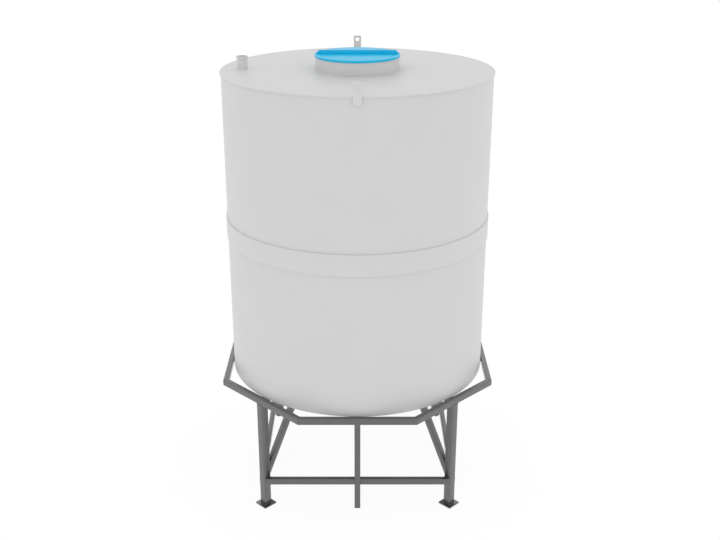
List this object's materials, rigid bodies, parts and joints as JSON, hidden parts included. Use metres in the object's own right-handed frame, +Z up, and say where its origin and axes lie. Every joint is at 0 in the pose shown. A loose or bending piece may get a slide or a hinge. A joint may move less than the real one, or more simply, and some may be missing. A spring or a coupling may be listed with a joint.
{
  "type": "vertical storage tank on a steel stand",
  "caption": "Upright plastic storage tank with a flat roof, a lift-off hatch lid and an open vent pipe, standing on an octagonal steel stand with slanting braces.",
  "frame": {"origin": "on the tank's vertical axis, at floor level", "axes": "+Z up, -Y towards the front, where the picture looks from, +X to the right; the vent pipe is on the left, towards -X"},
  "size_m": [2.094, 2.094, 3.4165],
  "materials": {
    "pale_plastic_sheet": "pale grey welded polypropylene sheet, satin",
    "plastic_pipe": "light grey extruded polypropylene pipe, satin",
    "blue_plastic_sheet": "sky blue polypropylene sheet, smooth",
    "painted_steel": "dark grey painted steel tube, satin"
  },
  "bodies": {
    "tank": {"brace_front_left": "painted_steel", "brace_front_right": "painted_steel", "brace_rear_left": "painted_steel", "brace_rear_right": "painted_steel", "floor_cross": "painted_steel", "foot_plate_front_left": "painted_steel", "foot_plate_front_right": "painted_steel", "foot_plate_rear_left": "painted_steel", "foot_plate_rear_right": "painted_steel", "hatch_collar": "pale_plastic_sheet", "leg_front_left": "painted_steel", "leg_front_right": "painted_steel", "leg_rear_left": "painted_steel", "leg_rear_right": "painted_steel", "lifting_lug_front": "pale_plastic_sheet", "lifting_lug_rear": "pale_plastic_sheet", "lower_beam_front": "painted_steel", "lower_beam_left": "painted_steel", "lower_beam_rear": "painted_steel", "lower_beam_right": "painted_steel", "post_front": "painted_steel", "post_left": "painted_steel", "post_rear": "painted_steel", "post_right": "painted_steel", "ring_side_front": "painted_steel", "ring_side_front_left": "painted_steel", "ring_side_front_right": "painted_steel", "ring_side_left": "painted_steel", "ring_side_rear": "painted_steel", "ring_side_rear_left": "painted_steel", "ring_side_rear_right": "painted_steel", "ring_side_right": "painted_steel", "seat_beam_front_left": "painted_steel", "seat_beam_front_right": "painted_steel", "seat_beam_rear_left": "painted_steel", "seat_beam_rear_right": "painted_steel", "tank_floor": "pale_plastic_sheet", "tank_roof": "pale_plastic_sheet", "tank_wall_lower": "pale_plastic_sheet", "tank_wall_upper": "pale_plastic_sheet", "vent_pipe": "plastic_pipe", "wall_belt": "pale_plastic_sheet"},
    "lid": {"hatch_lid": "blue_plastic_sheet", "lid_rib": "blue_plastic_sheet"}
  },
  "joints": [
    {"name": "lid_lift", "type": "slide", "parent": "tank", "child": "lid", "axis": [0, 0, 1], "range_m": [0, 0.3]}
  ]
}
